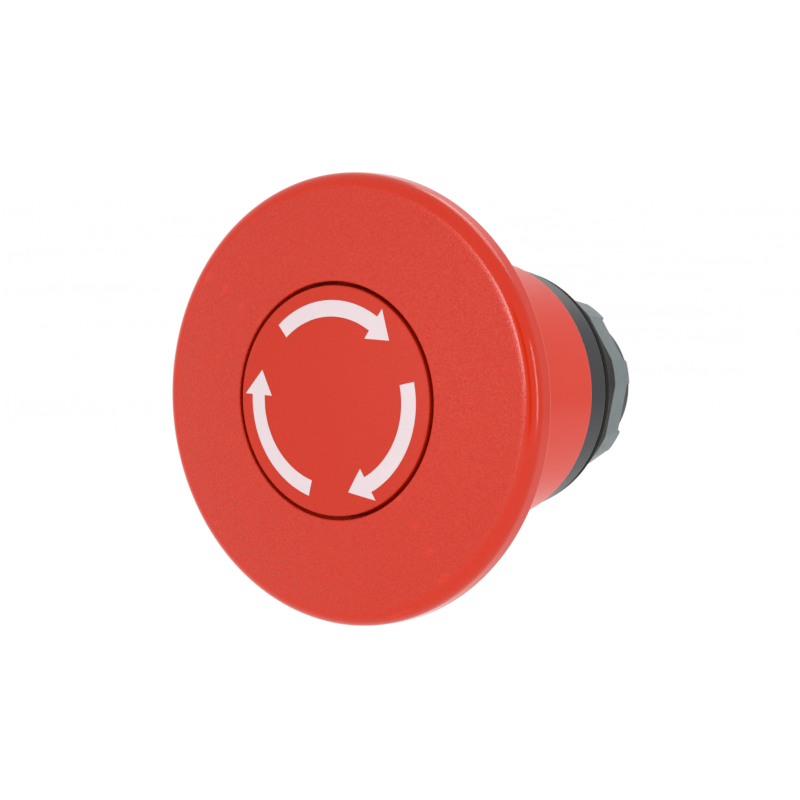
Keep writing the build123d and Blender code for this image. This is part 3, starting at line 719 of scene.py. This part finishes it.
def bushing_section(angle):
    """The bushing's closed profile at an angle about the axis."""
    off_keyway = radians(angle - KEYWAY_ANGLE)
    keyway_half = asin(KEYWAY_WIDTH / 2 / THREAD_R)
    rows = []
    for y in thread_rows(angle, WEB_FRONT_Y, THREAD_BACK_Y):
        r = min(thread_radius(angle, y), SPIGOT_R + THREAD_BACK_Y - y)
        if abs(off_keyway) <= keyway_half + KEYWAY_SLACK and y > 0:
            r = min(r, SPIGOT_R / cos(off_keyway))
        rows.append((r, y))
    inner, outer, deep = O_GROOVE
    front = rounded(
        [
            (BORE_R, SPRING_SEAT_Y, 0),
            (FRONT_BORE_R, SPRING_SEAT_Y, 0),
            (FRONT_BORE_R, BUSHING_LOW[1], EASE),
            (FRONT_TUBE_R, BUSHING_LOW[1], EASE),
            (FRONT_TUBE_R, BUSHING_FLANGE_Y, 0),
            (BUSHING_FLANGE_R, BUSHING_FLANGE_Y, EASE),
            (BUSHING_FLANGE_R, WEB_FRONT_Y, 0),
            (outer, WEB_FRONT_Y, 0),
            (outer, deep, 0),
            (inner, deep, 0),
            (inner, WEB_FRONT_Y, 0),
        ]
    )
    groove_front, groove_back = CLIP_LOW[1] - FIT, CLIP_HIGH[1] + FIT
    groove_r = CLIP_HIGH[0] + FIT
    back = rounded(
        [
            (SPIGOT_R, THREAD_BACK_Y, 0),
            (SPIGOT_R, BUSHING_HIGH[1], SPIGOT_ROUND),
            (BORE_R, BUSHING_HIGH[1], EASE),
            (BORE_R, groove_back, 0),
            (groove_r, groove_back, 0),
            (groove_r, groove_front, 0),
            (BORE_R, groove_front, 0),
        ]
    )
    return front + rows + back


def bushing_stations():
    wall = degrees(asin(KEYWAY_WIDTH / 2 / THREAD_R))
    angles = [360 / BUSHING_STEPS * step for step in range(BUSHING_STEPS + 1)]
    angles += [KEYWAY_ANGLE + side * (wall + gap) for side in (-1, 1) for gap in (0.0, WALL_STEP)]
    return [(angle, bushing_section(angle)) for angle in sorted(angles)]


def panel_key():
    """The key on the thread's root that stops the operator from turning in the panel."""
    half = degrees(asin(PANEL_KEY_WIDTH / 2 / PANEL_KEY_R))
    root = THREAD_R - THREAD_DEPTH - PANEL_KEY_ROOT
    profile = rounded(
        [
            (root, 0, 0),
            (PANEL_KEY_R, 0, EASE),
            (PANEL_KEY_R, PANEL_KEY_LENGTH, EASE),
            (root, PANEL_KEY_LENGTH, 0),
        ]
    )
    shares = (-1, -0.5, 0, 0.5, 1)
    return loft([(PANEL_KEY_ANGLE + half * share, profile) for share in shares], closed=False)


def collar_profile():
    front, back = COLLAR_LOW[1], COLLAR_HIGH[1]
    return rounded(
        [
            (THREAD_R + FIT, WEB_FRONT_Y, 0),
            (COLLAR_IN_R, WEB_FRONT_Y, 0),
            (COLLAR_IN_R, front, EASE),
            (COLLAR_R, front, COLLAR_FRONT_ROUND),
            (COLLAR_R, back, COLLAR_BACK_ROUND),
            (THREAD_R + FIT, back, 0),
        ]
    )


def gasket_profile():
    inner, outer = PAD_IN_R, GASKET_HIGH[0]
    front, back = GASKET_LOW[1], GASKET_HIGH[1]
    return rounded(
        [
            (inner, front, GASKET_IN_ROUND),
            (outer, front, GASKET_OUT_ROUND),
            (outer, back, GASKET_OUT_ROUND),
            (inner, back, GASKET_IN_ROUND),
        ]
    )


def latch_profile():
    outer, front, back = LATCH_HIGH[0], LATCH_LOW[1], LATCH_HIGH[1]
    return rounded(
        [
            (outer, front, 0),
            (outer, back, LATCH_BACK_ROUND),
            (LATCH_BACK_R, back, LATCH_BACK_ROUND),
            (LATCH_CREST_R, LATCH_CREST_Y, LATCH_CREST_ROUND),
            (LATCH_IN_R, LATCH_RAMP_Y, 0),
            (LATCH_IN_R, front, 0),
        ]
    )


def clip_loops():
    """The outline of the open spring ring, which bulges round its two eyelets, and their holes."""
    first, last = CLIP_ENDS
    angles = [first + (last - first) * step / CLIP_STEPS for step in range(CLIP_STEPS + 1)]
    eyes = [Vector((side * CLIP_EYE[0], CLIP_EYE[1])) for side in (-1, 1)]
    outline = [polar(CLIP_HIGH[0], angle) for angle in angles]
    for angle in reversed(angles):
        direction = polar(1.0, angle)
        near = CLIP_IN_R
        for eye in eyes:
            along = eye.dot(direction)
            off = eye.length_squared - along**2
            if along > 0 and off < CLIP_EYE_R**2:
                near = min(near, along - sqrt(CLIP_EYE_R**2 - off))
        outline.append(direction * near)
    turns = [360 / CLIP_HOLE_STEPS * step for step in range(CLIP_HOLE_STEPS)]
    return [outline] + [[eye + polar(CLIP_HOLE_R, turn) for turn in turns] for eye in eyes]


def clip_mesh():
    """The spring ring, as a flat outline with rounded edges."""
    half = (CLIP_HIGH[1] - CLIP_LOW[1]) / 2
    curve = bpy.data.curves.new("clip", "CURVE")
    curve.dimensions = "2D"
    curve.fill_mode = "BOTH"
    curve.extrude = (half - CLIP_EDGE) * MM
    curve.bevel_depth = CLIP_EDGE * MM
    curve.offset = -CLIP_EDGE * MM
    curve.bevel_resolution = 2
    for loop in clip_loops():
        spline = curve.splines.new("POLY")
        spline.points.add(len(loop) - 1)
        for point, place in zip(spline.points, loop):
            point.co = (place.x * MM, place.y * MM, 0.0, 1.0)
        spline.use_cyclic_u = True
    drawn = bpy.data.objects.new("clip", curve)
    bpy.context.scene.collection.objects.link(drawn)
    bpy.context.view_layer.update()
    mesh = bpy.data.meshes.new_from_object(drawn.evaluated_get(bpy.context.evaluated_depsgraph_get()))
    bpy.data.objects.remove(drawn)
    middle = (CLIP_LOW[1] + half) * MM
    mesh.transform(Matrix.Translation((0, middle, 0)) @ Matrix.Rotation(radians(90), 4, "X"))
    build = bmesh.new()
    build.from_mesh(mesh)
    return welded(build, mesh)


def build_housing():
    for name, shells, slot, replaced in (
        ("bushing_body", [loft(bushing_stations()), panel_key()], "bushing_black", "threaded_bushing"),
        ("collar_ring", [lathe(collar_profile())], "collar_black", "bezel_collar"),
        ("gasket_ring", [lathe(gasket_profile())], "rubber_black", "panel_gasket"),
        ("latch_ring_turned", [lathe(latch_profile())], "ring_brass", "latch_ring"),
    ):
        add_piece(name, mesh_from(name, *shells), "housing", slot, [replaced])
    add_piece("clip_ring", clip_mesh(), "housing", "clip_dark", ["ring_clip"])


# ---- contact pusher ----
def pusher_section(lift):
    """The pusher's closed profile, with its prong raised by lift."""
    outer, ease = PUSHER_HIGH[0], PUSHER_ROUND
    top = PUSHER_BODY_Y + lift
    curl = min(ease, lift)
    return (
        [(0, PUSHER_LOW[1])]
        + arc((outer - ease, PUSHER_LOW[1] + ease), ease, -90, 0, ARC_STEPS)
        + arc((outer - ease, top - ease), ease, 0, 90, ARC_STEPS)
        + arc((PRONG_IN_R + curl, top - curl), curl, 90, 180, ARC_STEPS)
        + [(PRONG_IN_R, PUSHER_BODY_Y), (0, PUSHER_BODY_Y)]
    )


def wall_lift(depth, height, rounding):
    """How high a raised block's back face is, at a depth in from its rounded side wall."""
    if depth < 0:
        return 0.0
    short = max(rounding - depth, 0.0)
    return height - rounding + sqrt(rounding**2 - short**2)


def pusher_stations():
    height = PUSHER_HIGH[1] - PUSHER_BODY_Y
    offsets = [-value for value in reversed(PUSHER_OFFSETS)] + list(PUSHER_OFFSETS[1:])
    stations = []
    for middle in (0, 180):
        for offset in offsets:
            depth = radians(PRONG_ANGLE / 2 - abs(offset)) * PUSHER_HIGH[0]
            lift = wall_lift(depth, height, PUSHER_ROUND)
            stations.append((middle + offset, pusher_section(lift)))
    return stations


def build_pusher():
    mesh = mesh_from("pusher_body", loft(pusher_stations()))
    add_piece("pusher_body", mesh, "carrier", "pusher_black", ["contact_pusher"])


# ---- lock nut ----
def flat_outline(front, back, offset, y):
    """The outline's radius at a station, offset degrees from a tooth's middle."""
    share = (y - front[0]) / (back[0] - front[0])
    round_r, flat = (front[place] + share * (back[place] - front[place]) for place in (1, 2))
    flat_r = flat / cos(radians(PERIOD / 2 - abs(offset)))
    return (round_r + flat_r - sqrt((round_r - flat_r) ** 2 + CREASE**2)) / 2


def toothed_stations(section):
    """Stations right round the nut, from section(offset from a tooth's middle, tooth lift, angle)."""
    offsets = [-PERIOD / 2] + [-value for value in reversed(TOOTH_OFFSETS)] + list(TOOTH_OFFSETS[1:])
    stations = []
    for tooth in range(TOOTH_COUNT):
        for offset in offsets:
            angle = FIRST_TOOTH + PERIOD * tooth + offset
            depth = radians(TOOTH_ANGLE / 2 - abs(offset)) * NUT_BACK[1]
            lift = wall_lift(depth, NUT_BACK[0] - GAP_Y, TOOTH_ROUND)
            stations.append((angle, section(offset, lift, angle)))
    end = FIRST_TOOTH + 360 - PERIOD / 2
    stations.append((end, section(-PERIOD / 2, 0.0, end)))
    return stations


def nut_section(offset, lift, angle):
    """The nut's closed profile, from the front of its bore round by its back."""
    front, back = NUT_FRONT[0], GAP_Y + lift
    front_r, back_r = (flat_outline(NUT_FRONT, NUT_BACK, offset, y) for y in (front + EASE, back))
    curl = min(EASE, lift)
    hub_r = PAD_IN_R - FIT
    bore = [(thread_radius(angle, y) + RUNNING, y) for y in thread_rows(angle, HUB_FRONT_Y, GAP_Y)]
    return (
        bore
        + [(TOOTH_IN_R, GAP_Y)]
        + arc((TOOTH_IN_R + curl, back - curl), curl, 180, 90, TOOTH_IN_STEPS)
        + arc((back_r - NUT_BACK_ROUND, back - NUT_BACK_ROUND), NUT_BACK_ROUND, 90, 0, ARC_STEPS)
        + arc((front_r - EASE, front + EASE), EASE, 0, -90, ARC_STEPS)
        + [(hub_r, front), (hub_r, HUB_FRONT_Y)]
    )


def pad_section(offset, *_):
    """The front ring's closed profile."""
    edge, back = PAD_FRONT[0], NUT_FRONT[0]
    edge_r, back_r = (flat_outline(PAD_FRONT, NUT_FRONT, offset, y) for y in (edge, back))
    return rounded(
        [
            (PAD_IN_R, PAD_POCKET_Y, 0),
            (PAD_POCKET_R, PAD_POCKET_Y, 0),
            (PAD_POCKET_R, 0, EASE),
            (edge_r, 0, EASE),
            (edge_r, edge, EASE),
            (back_r, back, EASE),
            (PAD_IN_R, back, 0),
        ]
    )


def build_nut():
    for name, section, slot, replaced in (
        ("nut_ring", nut_section, "nut_grey", "lock_nut"),
        ("pad_ring", pad_section, "pad_black", "nut_pad"),
    ):
        mesh = mesh_from(name, loft(toothed_stations(section)))
        add_piece(name, mesh, "nut", slot, [replaced])


# ---- springs ----
def coil_shell(radius, wire_r, turns, front, back):
    """A right-hand coil about the axis that starts at the top, between the middles of its end wires."""
    stations = []
    count = turns * COIL_STEPS
    wire = [radians(360 / WIRE_SIDES * side) for side in range(WIRE_SIDES)]
    for step in range(count + 1):
        y = front + (back - front) * step / count
        profile = [(radius + wire_r * cos(turn), y + wire_r * sin(turn)) for turn in wire]
        stations.append((90 - 360 * step / COIL_STEPS, profile))
    return loft(stations, closed=False)


def add_spring(name, shell, body, slot, replaced):
    """A spring, added as a piece with a mesh of its own."""
    piece = add_piece(name, mesh_from(name, shell), body, slot, [replaced])
    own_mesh(piece)


def build_springs():
    """The return spring and the latch spring."""
    front, back = RETURN_LOW[1] + RETURN_WIRE_R, RETURN_HIGH[1] - RETURN_WIRE_R
    coil = coil_shell(RETURN_HIGH[0] - RETURN_WIRE_R, RETURN_WIRE_R, RETURN_TURNS, front, back)
    add_spring("return_coil", coil, "housing", "spring_steel", "return_spring")

    middle = (SPRING_LOW[1] + SPRING_HIGH[1]) / 2
    half = SPRING_HIGH[0] - LATCH_WIRE_R
    points, faces = coil_shell(SPRING_HIGH[2] - LATCH_WIRE_R, LATCH_WIRE_R, LATCH_TURNS, -half, half)
    coil = [(y, middle - x, z) for x, y, z in points], faces
    add_spring("latch_coil", coil, "carrier", "spring_steel", "latch_spring")


def build_twist_spring():
    """The torsion spring, left out of every body, with its place baked into its mesh."""
    front, back = TWIST_LOW[1] + TWIST_WIRE_R, TWIST_HIGH[1] - TWIST_WIRE_R
    shell = coil_shell(TWIST_HIGH[0] - TWIST_WIRE_R, TWIST_WIRE_R, TWIST_TURNS, front, back)
    mesh = mesh_from("twist_coil", shell)
    piece = add_piece("twist_coil", mesh, None, "spring_steel", ["twist_spring"])
    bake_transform(piece)


# ---- pieces that keep their CAD shape ----
KEPT = {
    "head_screw": "zinc_steel",
    "screw_washer": "zinc_steel",
    "spindle": "spindle_steel",
    "spindle_clip": "clip_dark",
    "slide_carrier": "carrier_natural",
    "latch_pin_left": "pin_brass",
    "latch_pin_right": "pin_brass",
    "guide_bush": "carrier_natural",
    "flange_o_ring": "rubber_black",
    "sealing_bellows": "rubber_black",
    "thrust_washer": "zinc_steel",
}


def finish_kept():
    for name, slot in KEPT.items():
        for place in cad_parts[name].material_slots:
            place.material = MATERIALS[slot]


# ---- studio ----
def unit(azimuth, elevation):
    """The direction seen at an azimuth, 0 being -Y and turning towards +X, and an elevation."""
    flat = cos(radians(elevation))
    return Vector((sin(radians(azimuth)) * flat, -cos(radians(azimuth)) * flat, sin(radians(elevation))))


def facing(direction, place):
    """The matrix of something at a place that looks against a direction, with its top upwards."""
    right = Vector((0, 0, 1)).cross(direction).normalized()
    up = direction.cross(right)
    turn = Matrix((right, up, direction)).transposed().to_4x4()
    return Matrix.Translation(place) @ turn


def add_camera():
    lens = bpy.data.cameras.new("camera")
    lens.sensor_width = SENSOR_WIDTH
    lens.lens = FOCAL_LENGTH
    lens.clip_end = CAMERA_REACH
    camera = bpy.data.objects.new("camera", lens)
    back = unit(CAMERA_AZIMUTH, CAMERA_ELEVATION)
    camera.matrix_world = facing(back, Vector(CAMERA_AIM) * MM + back * CAMERA_DISTANCE)
    bpy.context.scene.collection.objects.link(camera)
    bpy.context.scene.camera = camera


def add_softbox(name, azimuth, elevation, distance, width, height, watts):
    lamp = bpy.data.lights.new(name, "AREA")
    lamp.shape = "RECTANGLE"
    lamp.size = width
    lamp.size_y = height
    lamp.energy = watts
    box = bpy.data.objects.new(name, lamp)
    direction = unit(azimuth, elevation)
    box.matrix_world = facing(direction, direction * distance)
    bpy.context.scene.collection.objects.link(box)


def add_sheet(name, slot, greys, rough, size, matrix):
    """A plain matt sheet that is only part of the studio."""
    material, tree, shader, place = start_material(slot)
    colour = mixed(tree, noise(tree, place, SHEET_SCALE), grey(greys[0]), grey(greys[1]))
    tree.links.new(colour, shader.inputs["Base Color"])
    shader.inputs["Roughness"].default_value = rough
    shader.inputs["Specular IOR Level"].default_value = 0.0
    x, y = size[0] / 2, size[1] / 2
    mesh = bpy.data.meshes.new(name)
    mesh.from_pydata([(-x, -y, 0), (x, -y, 0), (x, y, 0), (-x, y, 0)], [], [(0, 1, 2, 3)])
    mesh.materials.append(material)
    sheet = bpy.data.objects.new(name, mesh)
    sheet.matrix_world = matrix
    bpy.context.scene.collection.objects.link(sheet)


def add_sheets():
    """The floor, and a black card behind the camera that the glossy sides mirror."""
    add_sheet("floor", "floor", (0.93, 0.95), 0.9, FLOOR_SIZE, Matrix.Translation((0, 0, FLOOR_Z)))
    direction = unit(CARD_AZIMUTH, CARD_ELEVATION)
    card = facing(direction, direction * CARD_DISTANCE)
    add_sheet("dark_card", "card_black", (0.004, 0.006), 1.0, CARD_SIZE, card)


def add_world():
    world = bpy.data.worlds.new("studio")
    world.use_nodes = True
    glow = world.node_tree.nodes["Background"]
    glow.inputs["Color"].default_value = (1.0, 1.0, 1.0, 1.0)
    glow.inputs["Strength"].default_value = WORLD_STRENGTH
    bpy.context.scene.world = world


build_head()
build_housing()
build_pusher()
build_nut()
build_springs()
build_twist_spring()
finish_kept()
add_camera()
add_sheets()
add_world()
for softbox in SOFTBOXES:
    add_softbox(*softbox)
bpy.context.scene.view_settings.view_transform = "Standard"
